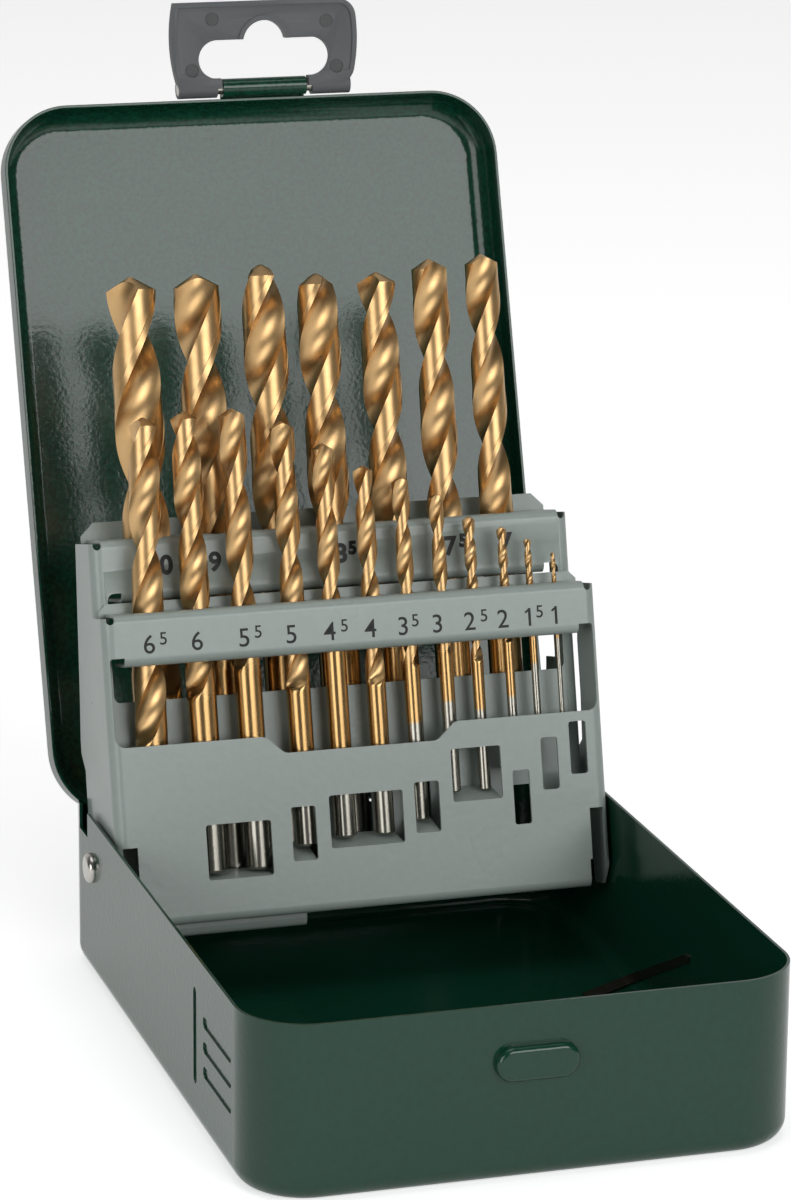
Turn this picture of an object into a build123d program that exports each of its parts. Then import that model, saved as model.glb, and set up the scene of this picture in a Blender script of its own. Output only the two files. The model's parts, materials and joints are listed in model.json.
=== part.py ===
from build123d import *
import math
import os

os.makedirs("parts", exist_ok=True)

# ---------------------------------------------------------------- driving dimensions (mm, degrees)
# The origin is the centre of the tray's underside, +Z up, the tray's front wall towards -Y.

# pressed steel case
case_sheet = 0.6
tray_width = 106.2
tray_length = 147.2
tray_height = 34.4
tray_corner = 13.2
tray_edge = 3.8
rim_step = 0.2                  # rear wall's low rim under the shut lid's
rim_gap_start = 19.6            # side walls' rims end this far in front of the rear wall's outside
rim_gap_end = 12.8              # and the rear corners' begin
rim_slope_start = 0.4           # a corner's rim slopes down from this far inside the side wall's outside
rim_slope_end = 5.7             # to this far
bump_length = 16.1              # oval catch on the tray's front wall
bump_breadth = 6.8
bump_proud = 2.0
bump_height = 23.3
bump_hollow_gap = 0.01          # keeps the catch's hollow off the wall's inner skin
rib_depth = 0.35                # shallow pressings in the side walls
rib_breadth = 2.2
rib_tops = (23.5, 18.6, 13.7)
rib_start = 15.0                # from the front wall
rib_length = 20.0
groove_place = 41.0
groove_low = 9.0
groove_high = 28.0

# lid
lid_gap = 0.3                   # between the tray's wall and the lid's rim
lid_rim_height = 29.5           # with the lid shut
lid_depth = 9.5
lid_edge = 5.0
open_angle = 108.27

# rear hinge
hinge_offset = 0.76             # axis behind the tray's rear wall
hinge_drop = 2.6                # axis below the shut lid's rim
hinge_wire = 1.6
running_fit = 0.05
knuckle_pitch = 15.0
knuckle_gap = 0.3
knuckle_count = 5

# hang tab
tab_place = 3.2                 # its middle, right of the case's middle
tab_wire = 2.6
tab_axis_reach = 2.3            # axis in front of the lid's front wall
tab_strap_half = 9.2            # the lid's curled strap
tab_barrel = 2.0
tab_barrel_start = 10.4
tab_barrel_end = 18.8
tab_thickness = 2.2
tab_inset = 2.0                 # inner face, from the axis
tab_height = 18.2
tab_bulge = 1.5
tab_corner = 4.0
tab_border = 1.0
tab_recess = 0.4
tab_lean = 13.0                 # rest pose, towards the open side of the lid
slot_low = 2.1
slot_high = 10.2
slot_half = 14.4
crown_top = 14.1
crown_half = 4.7

# drill racks, each drawn in its own frame: x across, forward of and up along the drills
rack_sheet = 0.6
rack_lean = 14.042
rack_side_gap = 0.7             # between the tray's side walls and the front rack's ears
rack_bend = 2.4
pivot_forward = 14.65
pivot_up = -5.13
pivot_from_rear = 23.2          # pivot in front of the tray's rear face
pivot_height = 24.0
pivot_shank = 3.6
pivot_head = 6.2
pivot_dome = 1.4
pivot_spacer = 5.4
pivot_inner_head = 0.8
hole_clearance = 0.5            # drill holes, over the drill's diameter
bar_bend = 1.8                  # outer radius of the number bars' folds and the feet's
low_flange_gap = 3.0            # a bar's lower flange ends this far inside its window
window_rise = 1.9               # a window's upper corners over the bar's underside
notch_width = 1.6               # round relief between a bar's upper flange and the ears
notch_depth = 1.9
ear_drop = 0.6                  # ears' tops under the bars'
lip_over = 1.2                  # a lip is this much longer than its flange, each end
lip_slope = 0.75                # of the lip's height, cut off its upper corners
lip_height = 2.0

front_face = 33.2
front_row = 28.3
front_bar_low = 35.6
front_bar_high = 46.2
front_flange_back = 24.1
front_flange_inset = 2.5
front_foot_low = -16.5
front_foot_inset = 4.7          # insets are from the outside of that rack's ears
front_foot_back = 24.4
flap_back = 24.3
side_slot_inset = 4.2
side_slot_width = 3.0
side_slot_top = -0.3
ear_corner_high = -10.0         # lower front corner of the ears, cut from here
ear_corner_back = 28.0          # to here
front_foot_step = -10.8
window_inset = 1.1
window_low = 19.7
window_step_half = 20.0
window_sunk_half = 16.0
window_sunk = 16.1
window_round = 2.2
small_round = 0.6

rear_face = 24.0
rear_row = 18.07
rear_bar_low = 48.3
rear_bar_high = 61.0
rear_flange_back = 11.5
rear_flange_inset = 2.3
rear_lip_height = 3.5
rear_window_low = 28.2
rear_window_inset = 2.9
rear_window_round = 1.4
rear_foot_low = -19.9
rear_foot_inset = 4.1
rear_foot_end = -10.6           # place across of the foot's right end
rear_plate_low = -16.7          # plate and right ear end here beyond the foot
rear_foot_notch = 4.0           # lower corners cut away, this high
rear_corner_back = 20.0         # and back to here
rear_rack_play = 1.2            # between the right ears; the left ears touch
rear_foot_back = 12.4
rear_flap_back = 13.9
flap_side = 0.1                 # a flap is this much narrower than its window, each side
flap_root = 0.3                 # a flap starts this deep in its plate
fold_overlap = 0.2              # a level flap or foot, into its plate

# rear edge of the ears from the bottom up: forward, up
FRONT_EAR = ((21.5, -4.0), (13.0, 6.2), (12.4, 8.0), (20.4, 13.0), (21.2, 23.0), (21.2, 34.0))
REAR_EAR = ((7.6, -14.0), (5.6, -5.0), (6.4, 14.0), (3.5, 17.3), (3.5, 20.2), (5.3, 28.5))
front_ear_foot = 23.5
rear_ear_foot = 11.0
rear_ear_top = 0.8              # behind the bar's flange
right_ear_back = 11.4           # the rear rack's right ear is cut to here, from its step up
right_ear_step = 30.0

# front windows with a flap folded back at the lower edge: left, right, top, bottom, flap's rise
FRONT_WINDOWS = {
    "a": (-33.4, -19.9, 3.0, -8.1, 8.0),
    "b": (-15.7, -10.5, 5.1, -5.8, 20.0),
    "c": (-7.6, 7.9, 6.8, -3.9, 14.0),
    "d": (10.4, 15.7, 8.0, -2.35, 20.0),
    "e": (18.6, 29.2, 14.1, 3.3, 16.0),
}
# front windows with a level flap folded back at the upper edge: left, right, flap's top, bottom
FRONT_SHELVES = {
    "f": (31.5, 35.1, 9.3, -2.4),
    "g": (37.9, 41.5, 15.5, 4.2),
    "h": (44.1, 47.8, 18.3, 6.9),
}
# front row, diameter: (place across, overall length, fluted length, what it stands on)
FRONT_DRILLS = {
    6.5: (-41.4, 101.0, 63.0, "foot"),
    6.0: (-31.3, 93.0, 57.0, "a"),
    5.5: (-21.5, 93.0, 57.0, "a"),
    5.0: (-11.2, 86.0, 52.0, "b"),
    4.5: (-3.1, 80.0, 47.0, "c"),
    4.0: (5.2, 75.0, 43.0, "c"),
    3.5: (12.9, 70.0, 39.0, "d"),
    3.0: (20.3, 61.0, 33.0, "e"),
    2.5: (27.0, 56.0, 30.0, "e"),
    2.0: (33.9, 49.0, 24.0, "f"),
    1.5: (39.3, 40.0, 18.0, "g"),
    1.0: (44.6, 34.0, 12.0, "h"),
}
# rear row, diameter: (place across, overall length, fluted length, its flap's top, opening's far edge)
REAR_DRILLS = {
    10.0: (-38.0, 133.0, 87.0, None, None),
    9.5: (-24.4, 125.0, 81.0, -11.4, 4.6),
    9.0: (-10.7, 125.0, 81.0, -10.1, 5.9),
    8.5: (0.8, 117.0, 75.0, -4.5, 11.5),
    8.0: (13.6, 117.0, 75.0, -4.9, 11.1),
    7.5: (25.1, 109.0, 69.0, 5.2, -4.4),
    7.0: (36.4, 109.0, 69.0, 5.6, -4.0),
}
rear_shelf_side = 1.0           # rear flaps are this much narrower than their drills, each side
seat_gap = 0.05                 # a drill's end over what it stands on
row_width = 106.2               # tray width that the rows' places across are given for
stray_drill = 6.5               # leans sideways in its holes, about the bar's middle
stray_lean = 2.1
point_angle = 118.0
helix_angle = 30.0
land_angle = 82.0
core_share = 0.34               # web thickness over diameter
sections_per_turn = 8
shank_chamfer = 0.12            # over diameter

# strip lying in the tray's right floor corner
strip_thickness = 0.4
strip_breadth = 1.8
strip_gap = 0.05
strip_foot = (39.6, 11.9)       # across, behind the tray's middle
strip_turn = 19.7               # behind the middle where it meets the wall
strip_end = (-13.0, 16.0)       # behind the middle, above the floor

# ---------------------------------------------------------------- worked out from them
half_width = tray_width / 2
half_length = tray_length / 2
hinge_y = half_length + hinge_offset
hinge_height = lid_rim_height - hinge_drop
low_rim_height = lid_rim_height - rim_step
lid_growth = lid_gap + case_sheet
lid_front_y = -half_length - lid_growth
knuckle_bore = hinge_wire / 2 + running_fit
knuckle_radius = knuckle_bore + case_sheet
hinge_length = knuckle_count * knuckle_pitch - knuckle_gap
tab_axis_y = lid_front_y - tab_axis_reach
tab_bore = tab_wire / 2 + running_fit
strap_radius = tab_bore + case_sheet
pivot_y = half_length - pivot_from_rear
front_ear = half_width - case_sheet - rack_side_gap
rear_ear = front_ear - rack_sheet - rear_rack_play / 2
rear_shift = -rear_rack_play / 2
front_flange_half = front_ear - front_flange_inset
rear_flange_half = rear_ear - rear_flange_inset
front_bar_middle = (front_bar_low + front_bar_high) / 2
row_spread = tray_width / row_width
front_foot_half = front_ear - front_foot_inset
side_slot_inner = front_ear - side_slot_inset
side_slot_outer = side_slot_inner + side_slot_width
window_half = front_ear - window_inset
rear_window_half = rear_ear - rear_window_inset
rear_foot_half = rear_ear - rear_foot_inset
rear_foot_right = rear_foot_end * row_spread
front_back = front_face - rack_sheet
rear_back = rear_face - rack_sheet
shank_bore = pivot_shank / 2 + running_fit
past = 10 * case_sheet          # cutters reach this far past what they cut


def slab(x0, x1, y0, y1, z0, z1):
    """Box between two corners."""
    box = Box(x1 - x0, y1 - y0, z1 - z0, align=(Align.MIN, Align.MIN, Align.MIN))
    return Pos(x0, y0, z0) * box


def bar(radius, x0, x1, y, z):
    """Round bar along X."""
    cylinder = Cylinder(radius, x1 - x0, rotation=(0, 90, 0))
    return Pos((x0 + x1) / 2, y, z) * cylinder


def rounded_block(width, length, height, corner, edge):
    """Block on z = 0 with rounded upright corners and a rounded lower edge."""
    block = extrude(RectangleRounded(width, length, corner), height)
    return fillet(block.faces().sort_by(Axis.Z)[0].edges(), edge)


def pan(width, length, height, corner, edge):
    """Open pressed pan of the case's sheet, standing on z = 0."""
    outer = rounded_block(width, length, height, corner, edge)
    inner = rounded_block(
        width - 2 * case_sheet,
        length - 2 * case_sheet,
        height,
        corner - case_sheet,
        edge - case_sheet,
    )
    return outer - Pos(0, 0, case_sheet) * inner


def oval(length, breadth, depth, place):
    """Solid oval whose flat lies in XZ, from place towards -Y."""
    plane = Plane(origin=place, x_dir=(1, 0, 0), z_dir=(0, -1, 0))
    return extrude(plane * SlotOverall(length, breadth), depth)


def knuckle_span(index):
    """Left and right end of a rear hinge knuckle, counted from the left."""
    middle = (index - (knuckle_count - 1) / 2) * knuckle_pitch
    half = (knuckle_pitch - knuckle_gap) / 2
    return middle - half, middle + half


def opened(shape):
    """A shape of the shut lid, swung to the lid's rest pose."""
    return shape.rotate(Axis((0, hinge_y, hinge_height), (1, 0, 0)), -open_angle)


def leaned(shape):
    """A shape in the racks' own frame, put on the pivot and leaned back."""
    raised = Pos(0, pivot_forward, -pivot_up) * shape
    return Location((0, pivot_y, pivot_height), (-rack_lean, 0, 0)) * raised


def rack_slab(x0, x1, back, front, low, high):
    """Box in the racks' own frame."""
    return slab(x0, x1, -front, -back, low, high)


def hinge_knuckles(parity):
    """Rolled knuckles of one leaf, with the bore still to be cut."""
    knuckles = []
    for index in range(knuckle_count):
        if index % 2 == parity:
            knuckles.append(bar(knuckle_radius, *knuckle_span(index), hinge_y, hinge_height))
    return knuckles


# ---------------------------------------------------------------- case
def side_pressings(side):
    """Shallow bars and an upright groove in a side wall: what is cut outside, what is added inside."""
    wall = side * half_width
    front = -half_length
    cuts = []
    pads = []
    for height in rib_tops:
        plane = Plane((wall, front + rib_start + rib_length / 2, height), (0, 1, 0), (side, 0, 0))
        cuts.append(extrude(plane * SlotOverall(rib_length, rib_breadth), -rib_depth))
        pads.append(extrude(plane * SlotOverall(rib_length, rib_breadth), -rib_depth - case_sheet))
    middle = (groove_low + groove_high) / 2
    plane = Plane((wall, front + groove_place, middle), (0, 0, 1), (side, 0, 0))
    cuts.append(extrude(plane * SlotOverall(groove_high - groove_low, rib_breadth), -rib_depth))
    pads.append(
        extrude(plane * SlotOverall(groove_high - groove_low, rib_breadth), -rib_depth - case_sheet)
    )
    return cuts, pads


def base_tray():
    tray = pan(tray_width, tray_length, tray_height, tray_corner, tray_edge)
    # low rim along the rear wall and just in front of the rear corners
    corner = half_length - rim_gap_end
    beyond = half_width + past
    above = tray_height + past
    tray -= slab(-beyond, beyond, half_length - rim_gap_start, corner, low_rim_height, above)
    outer = half_width - rim_slope_start
    inner = half_width - rim_slope_end
    rim = [
        (-outer, corner, above),
        (-outer, corner, tray_height),
        (-inner, corner, low_rim_height),
        (inner, corner, low_rim_height),
        (outer, corner, tray_height),
        (outer, corner, above),
    ]
    tray -= extrude(make_face(Polyline(*rim, close=True)), rim_gap_end + past, dir=(0, 1, 0))
    cuts, pads = side_pressings(-1)
    for pad in pads:
        tray += pad
    for cut in cuts:
        tray -= cut
    # catch, hollow behind
    front = (0, -half_length + case_sheet / 2, bump_height)
    catch = oval(bump_length, bump_breadth, bump_proud + case_sheet / 2, front)
    catch = fillet(catch.faces().sort_by(Axis.Y)[0].edges(), bump_proud * 0.6)
    hollow = oval(
        bump_length - 2 * case_sheet,
        bump_breadth - 2 * case_sheet,
        bump_proud,
        (0, -half_length + case_sheet + bump_hollow_gap, bump_height),
    )
    tray = tray + catch - hollow
    # hinge leaf: knuckles rolled from the rear wall, gaps for the lid's knuckles
    for knuckle in hinge_knuckles(0):
        tray += knuckle
    for index in range(1, knuckle_count, 2):
        left, right = knuckle_span(index)
        gap_low = hinge_height - knuckle_radius - lid_gap
        tray -= slab(
            left - knuckle_gap,
            right + knuckle_gap,
            half_length - 3 * case_sheet,
            half_length + knuckle_radius * 3,
            gap_low,
            tray_height,
        )
    tray -= bar(knuckle_bore, -hinge_length, hinge_length, hinge_y, hinge_height)
    # pivot holes
    tray -= bar(shank_bore, -half_width - 1, half_width + 1, pivot_y, pivot_height)
    return tray


def lid_shut():
    shell = pan(
        tray_width + 2 * lid_growth,
        tray_length + 2 * lid_growth,
        lid_depth,
        tray_corner + lid_growth,
        lid_edge,
    )
    shell = Pos(0, 0, lid_rim_height + lid_depth) * (Rot(180, 0, 0) * shell)
    rear_wall = half_length + lid_gap
    for index in range(1, knuckle_count, 2):
        left, right = knuckle_span(index)
        shell += slab(
            left,
            right,
            rear_wall,
            rear_wall + case_sheet,
            hinge_height + knuckle_bore,
            lid_rim_height + case_sheet,
        )
    for knuckle in hinge_knuckles(1):
        shell += knuckle
    shell -= bar(knuckle_bore, -hinge_length, hinge_length, hinge_y, hinge_height)
    # strap curled round the hang tab's pin
    left = tab_place - tab_strap_half
    right = tab_place + tab_strap_half
    strap_top = lid_rim_height + strap_radius
    shell += slab(
        left,
        right,
        tab_axis_y,
        lid_front_y + case_sheet / 2,
        strap_top - case_sheet,
        strap_top,
    )
    shell += bar(strap_radius, left, right, tab_axis_y, lid_rim_height)
    shell -= bar(tab_bore, left - 1, right + 1, tab_axis_y, lid_rim_height)
    return shell


# ---------------------------------------------------------------- hang tab
def tab_frame(shape):
    """From the tab's own frame (x across, y outwards, z away from its pin) to the shut lid's."""
    turned = Rot(90 + tab_lean, 0, 0) * shape
    return Pos(tab_place, tab_axis_y, lid_rim_height) * turned


def tab_outline(inset):
    """Outline of the tab's plate in XZ: bowed sides, rounded top corners, open slot edge below."""
    foot = tab_barrel_end - inset
    middle = tab_barrel_end + tab_bulge - inset
    top = tab_height - inset
    shoulder = tab_barrel_end + tab_bulge / 2 - inset
    with BuildSketch(Plane.XZ) as sketch:
        with BuildLine():
            ThreePointArc((-foot, 0), (-middle, tab_height * 0.45), (-shoulder, top))
            Line((-shoulder, top), (shoulder, top))
            ThreePointArc((shoulder, top), (middle, tab_height * 0.45), (foot, 0))
            Line((foot, 0), (-foot, 0))
        make_face()
        corners = sketch.vertices().sort_by(Axis.Z)[-2:]
        fillet(corners, tab_corner - inset)
    return sketch.sketch


def hang_tab_own():
    plate_inner = -tab_inset
    plate_outer = tab_thickness - tab_inset
    plate = extrude(tab_outline(0), tab_thickness)
    low_y = plate.bounding_box().min.Y
    plate = Pos(0, plate_inner - low_y, 0) * plate
    # thin field inside a raised border, on the inner face
    field = extrude(tab_outline(tab_border), tab_recess)
    field = Pos(0, plate_inner - field.bounding_box().min.Y, 0) * field
    wide = 2 * tab_barrel_end
    deep = 4 * tab_thickness
    field -= slab(-wide, wide, -deep, deep, -deep, tab_barrel + tab_border)
    ring = Cylinder(crown_half + tab_border, deep, rotation=(90, 0, 0))
    ring = Pos(0, 0, crown_top - crown_half) * ring
    ring &= slab(-wide, wide, -deep, deep, slot_high, wide)
    plate = plate - (field - ring)
    for side in (-1, 1):
        start = min(side * tab_barrel_start, side * tab_barrel_end)
        plate += bar(tab_barrel, start, start + tab_barrel_end - tab_barrel_start, 0, 0)
    # slot with a crown
    middle = (slot_low + slot_high) / 2
    plane = Plane((0, deep, middle), (1, 0, 0), (0, -1, 0))
    plate -= extrude(plane * SlotOverall(2 * slot_half, slot_high - slot_low), 2 * deep)
    crown = Cylinder(crown_half, 2 * deep, rotation=(90, 0, 0))
    plate -= Pos(0, 0, crown_top - crown_half) * crown
    # room for the lid's strap
    room = tab_strap_half + knuckle_gap
    plate -= slab(-room, room, -deep, deep, -deep, middle)
    plate -= bar(tab_bore, -wide, wide, 0, 0)
    return plate


# ---------------------------------------------------------------- racks
def folded_wall(half, front, back, low, high):
    """Sheet bent to a U: front plate and two ears."""
    outer = rack_slab(-half, half, back, front, low, high)
    bends = outer.edges().filter_by(Axis.Z).sort_by(Axis.Y)[:2]
    outer = fillet(bends, rack_bend)
    reach = half - rack_sheet
    inner = rack_slab(-reach, reach, back - 1, front - rack_sheet, low - 1, high + 1)
    bends = inner.edges().filter_by(Axis.Z).sort_by(Axis.Y)[:2]
    inner = fillet(bends, rack_bend - rack_sheet)
    return outer - inner


def side_outline(points):
    """Solid of a side view, given as forward and up pairs, across the whole rack."""
    corners = [(0, -forward, up) for forward, up in points]
    face = make_face(Polyline(*corners, close=True))
    return extrude(face, 2 * half_width, dir=(1, 0, 0), both=True)


def front_cut(points, radius, high_radius, back, front):
    """Opening through a front plate, given as across and up pairs; high_radius rounds the upper two."""
    corners = [(x, 0, up) for x, up in points]
    face = make_face(Polyline(*corners, close=True))
    face = fillet(face.vertices().sort_by(Axis.Z)[:-2], radius)
    face = fillet(face.vertices().sort_by(Axis.Z)[-2:], high_radius)
    solid = extrude(face, 4 * rack_sheet, dir=(0, 1, 0), both=True)
    return Pos(0, -(front + back) / 2, 0) * solid


def channel(half, front, back, low, high):
    """Plate with two flanges folded back from the sheet, open at the rear."""
    outer = rack_slab(-half, half, back, front, low, high)
    folds = outer.edges().filter_by(Axis.X).sort_by(Axis.Y)[:2]
    outer = fillet(folds, bar_bend)
    inner = rack_slab(
        -half - past,
        half + past,
        back - past,
        front - rack_sheet,
        low + rack_sheet,
        high - rack_sheet,
    )
    folds = inner.edges().filter_by(Axis.X).sort_by(Axis.Y)[:2]
    inner = fillet(folds, bar_bend - rack_sheet)
    return outer - inner


def number_bar(rack, half, low_half, front, back, low, high):
    """The rack with its plate between low and high folded into a number bar."""
    middle = (low + high) / 2
    for side in (-1, 1):
        # ears a little lower, with a round relief beside the flange
        radius = notch_width / 2
        near = side * half
        far = side * (half + notch_width)
        beyond = side * (half_width + past)
        left, right = sorted((near, far))
        centre = high - notch_depth + radius
        rack -= rack_slab(left, right, 0, front + past, centre, high + past)
        relief = Cylinder(radius, front + past, rotation=(90, 0, 0))
        rack -= Pos(side * (half + radius), -front, centre) * relief
        left, right = sorted((far - side * radius, beyond))
        rack -= rack_slab(left, right, 0, front + past, high - ear_drop, high + past)
    rack -= rack_slab(-half, half, back, front + past, middle, high + past)
    rack -= rack_slab(-low_half, low_half, back, front + past, low, middle)
    upper = channel(half, front, back, low, high)
    rack += upper & rack_slab(-half, half, back, front, middle, high)
    lower = channel(low_half, front, back, low, high)
    rack += lower & rack_slab(-low_half, low_half, back, front, low, middle)
    return rack


def folded_foot(rack, left, right, front, back, low):
    """The rack with the lower edge of its plate folded back into a foot, from left to right."""
    high = low + 2 * bar_bend
    rack -= rack_slab(left, right, back, front + past, low - past, high)
    foot = channel(half_width, front, back, low, high + 2 * bar_bend)
    return rack + (foot & rack_slab(left, right, back, front, low, high))


def lip(half, back, front, low, high, top):
    """Lip that stands up from the rear edge of a bar's upper flange."""
    piece = rack_slab(-half - lip_over, half + lip_over, back, front, low, top)
    ends = piece.edges().filter_by(Axis.Y).sort_by(Axis.Z)[-2:]
    return chamfer(ends, (top - high) * lip_slope)


def strayed(shape, diameter, across):
    """The shape, leaned sideways about the front bar's middle where it belongs to the stray drill."""
    if diameter != stray_drill:
        return shape
    turn = Axis((across, -front_row, front_bar_middle), (0, 1, 0))
    return shape.rotate(turn, stray_lean)


def drill_hole(diameter, across, forward, low, high):
    """Cutter for one drill's hole through the number bar's flanges."""
    radius = (diameter + hole_clearance) / 2
    cutter = Cylinder(radius, high - low + 2 * past)
    return Pos(across, -forward, (low + high) / 2) * cutter


def front_rack():
    profile = [
        (front_flange_back, front_bar_high),
        (front_face + past, front_bar_high),
        (front_face + past, front_foot_low),
        (front_ear_foot, front_foot_low),
        *FRONT_EAR,
    ]
    rack = folded_wall(front_ear, front_face, 0, front_foot_low, front_bar_high)
    rack &= side_outline(profile)
    # foot narrower than the ears, and the ears' lower front corners cut off
    ahead = front_face + past
    below = front_foot_low - past
    corner = side_outline(
        [
            (ahead, ear_corner_high),
            (front_face, ear_corner_high),
            (ear_corner_back, front_foot_low),
            (ear_corner_back, below),
            (ahead, below),
        ]
    )
    for side in (-1, 1):
        inner = side * side_slot_inner
        outer = side * side_slot_outer
        left, right = sorted((inner, outer))
        rack -= rack_slab(left, right, front_flange_back, ahead, below, side_slot_top)
        left, right = sorted((outer, side * (front_ear + past)))
        rack -= corner & rack_slab(left, right, 0, ahead, below, front_bar_high)
        left, right = sorted((side * front_foot_half, inner))
        rack -= rack_slab(left, right, front_flange_back, ahead, below, front_foot_step)
    # window between the number bar and the lower plate
    window_high = front_bar_low + window_rise
    window = [
        (-window_half, window_high),
        (-window_half, window_low),
        (-window_step_half, window_low),
        (-window_sunk_half, window_sunk),
        (window_sunk_half, window_sunk),
        (window_step_half, window_low),
        (window_half, window_low),
        (window_half, window_high),
    ]
    rack -= front_cut(window, window_round, small_round, front_back, front_face)
    rack = number_bar(
        rack,
        front_flange_half,
        window_half - low_flange_gap,
        front_face,
        front_flange_back,
        front_bar_low,
        front_bar_high,
    )
    rack += lip(
        front_flange_half,
        front_flange_back,
        front_flange_back + rack_sheet,
        front_bar_high - rack_sheet,
        front_bar_high,
        front_bar_high + lip_height,
    )
    half = front_foot_half
    rack = folded_foot(rack, -half, half, front_face, front_foot_back, front_foot_low)
    for left, right, top, bottom, rise in FRONT_WINDOWS.values():
        left *= row_spread
        right *= row_spread
        corners = [(left, top), (left, bottom), (right, bottom), (right, top)]
        rack -= front_cut(corners, small_round, small_round, front_back, front_face)
        run = (front_back - flap_back) / math.cos(math.radians(rise))
        flap = slab(left + flap_side, right - flap_side, -flap_root, run, -rack_sheet, 0)
        rack += Pos(0, -front_back, bottom) * (Rot(rise, 0, 0) * flap)
    for left, right, top, bottom in FRONT_SHELVES.values():
        left *= row_spread
        right *= row_spread
        head = top - rack_sheet
        corners = [(left, head), (left, bottom), (right, bottom), (right, head)]
        rack -= front_cut(corners, small_round, small_round, front_back, front_face)
        left += flap_side
        right -= flap_side
        rack += rack_slab(left, right, flap_back, front_back + fold_overlap, head, top)
    for diameter, (across, _, _, _) in FRONT_DRILLS.items():
        across *= row_spread
        hole = drill_hole(diameter, across, front_row, front_bar_low, front_bar_high)
        rack -= strayed(hole, diameter, across)
    return rack


def rear_rack():
    profile = [
        (rear_flange_back - rear_ear_top, rear_bar_high),
        (rear_face + past, rear_bar_high),
        (rear_face + past, rear_foot_low),
        (rear_ear_foot, rear_foot_low),
        *REAR_EAR,
    ]
    rack = folded_wall(rear_ear, rear_face, 0, rear_foot_low, rear_bar_high)
    rack &= side_outline(profile)
    window_high = rear_bar_low + window_rise
    window = [
        (-rear_window_half, window_high),
        (-rear_window_half, rear_window_low),
        (rear_window_half, rear_window_low),
        (rear_window_half, window_high),
    ]
    rack -= front_cut(window, rear_window_round, rear_window_round, rear_back, rear_face)
    rack = number_bar(
        rack,
        rear_flange_half,
        rear_window_half - low_flange_gap,
        rear_face,
        rear_flange_back,
        rear_bar_low,
        rear_bar_high,
    )
    rack += lip(
        rear_flange_half,
        rear_flange_back - rack_sheet,
        rear_flange_back,
        rear_bar_high - rack_sheet,
        rear_bar_high,
        rear_bar_high + rear_lip_height,
    )
    ahead = rear_face + past
    below = rear_foot_low - past
    beyond = rear_ear + past
    for side in (-1, 1):
        left, right = sorted((side * rear_foot_half, side * beyond))
        notch_top = rear_foot_low + rear_foot_notch
        rack -= rack_slab(left, right, rear_corner_back, ahead, below, notch_top)
    # foot on the left only, and the right ear narrower above its step
    rack -= rack_slab(rear_foot_right, beyond, -past, ahead, below, rear_plate_low)
    inner = rear_ear - rear_window_inset
    rack -= rack_slab(inner, beyond, -past, right_ear_back, right_ear_step, rear_bar_high + past)
    rack = folded_foot(
        rack, -rear_foot_half, rear_foot_right, rear_face, rear_foot_back, rear_foot_low
    )
    rack = Pos(rear_shift, 0, 0) * rack
    for diameter, (across, _, _, seat, far) in REAR_DRILLS.items():
        across *= row_spread
        rack -= drill_hole(diameter, across, rear_row, rear_bar_low, rear_bar_high)
        if seat is not None:
            left = across - diameter / 2 + rear_shelf_side
            right = across + diameter / 2 - rear_shelf_side
            root = seat if far > seat else seat - rack_sheet
            corners = [(left, far), (left, root), (right, root), (right, far)]
            rack -= front_cut(corners, small_round, small_round, rear_back, rear_face)
            rack += rack_slab(
                left,
                right,
                rear_flap_back,
                rear_back + fold_overlap,
                seat - rack_sheet,
                seat,
            )
    rack -= Pos(0, -pivot_forward, pivot_up) * Cylinder(
        shank_bore, 4 * half_width, rotation=(0, 90, 0)
    )
    return rack


def pivot_rivet(side):
    """Rivet through the tray's wall and the rear rack's ear, with a collar that spaces them."""
    wall = half_width
    ear_outer = rear_ear + side * rear_shift
    ear_inner = ear_outer - rack_sheet
    gap = running_fit
    shank = bar(pivot_shank / 2, ear_inner - gap - pivot_inner_head, wall + 0.1, 0, 0)
    collar = bar(pivot_spacer / 2, ear_outer + gap, wall - case_sheet - gap, 0, 0)
    inner_head = bar(pivot_spacer / 2, ear_inner - gap - pivot_inner_head, ear_inner - gap, 0, 0)
    head = bar(pivot_head / 2, wall + gap, wall + gap + pivot_dome, 0, 0)
    head = fillet(head.faces().sort_by(Axis.X)[-1].edges(), pivot_dome * 0.85)
    rivet = shank + collar + inner_head + head
    if side < 0:
        rivet = mirror(rivet, Plane.YZ)
    return Pos(0, pivot_y, pivot_height) * rivet


# ---------------------------------------------------------------- drills
def flute_section(diameter):
    """Cross-section of a two-flute twist drill: two lands on the circle, two flutes to the web."""
    radius = diameter / 2
    half_land = math.radians(land_angle / 2)
    web = diameter * core_share / 2
    edges = []
    for turn in (0, math.pi):
        start = (radius * math.cos(turn - half_land), radius * math.sin(turn - half_land))
        middle = (radius * math.cos(turn), radius * math.sin(turn))
        end = (radius * math.cos(turn + half_land), radius * math.sin(turn + half_land))
        root = (web * math.cos(turn + math.pi / 2), web * math.sin(turn + math.pi / 2))
        far = turn + math.pi - half_land
        next_start = (radius * math.cos(far), radius * math.sin(far))
        edges.append(ThreePointArc(start, middle, end))
        edges.append(ThreePointArc(end, root, next_start))
    return Wire(edges)


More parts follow.
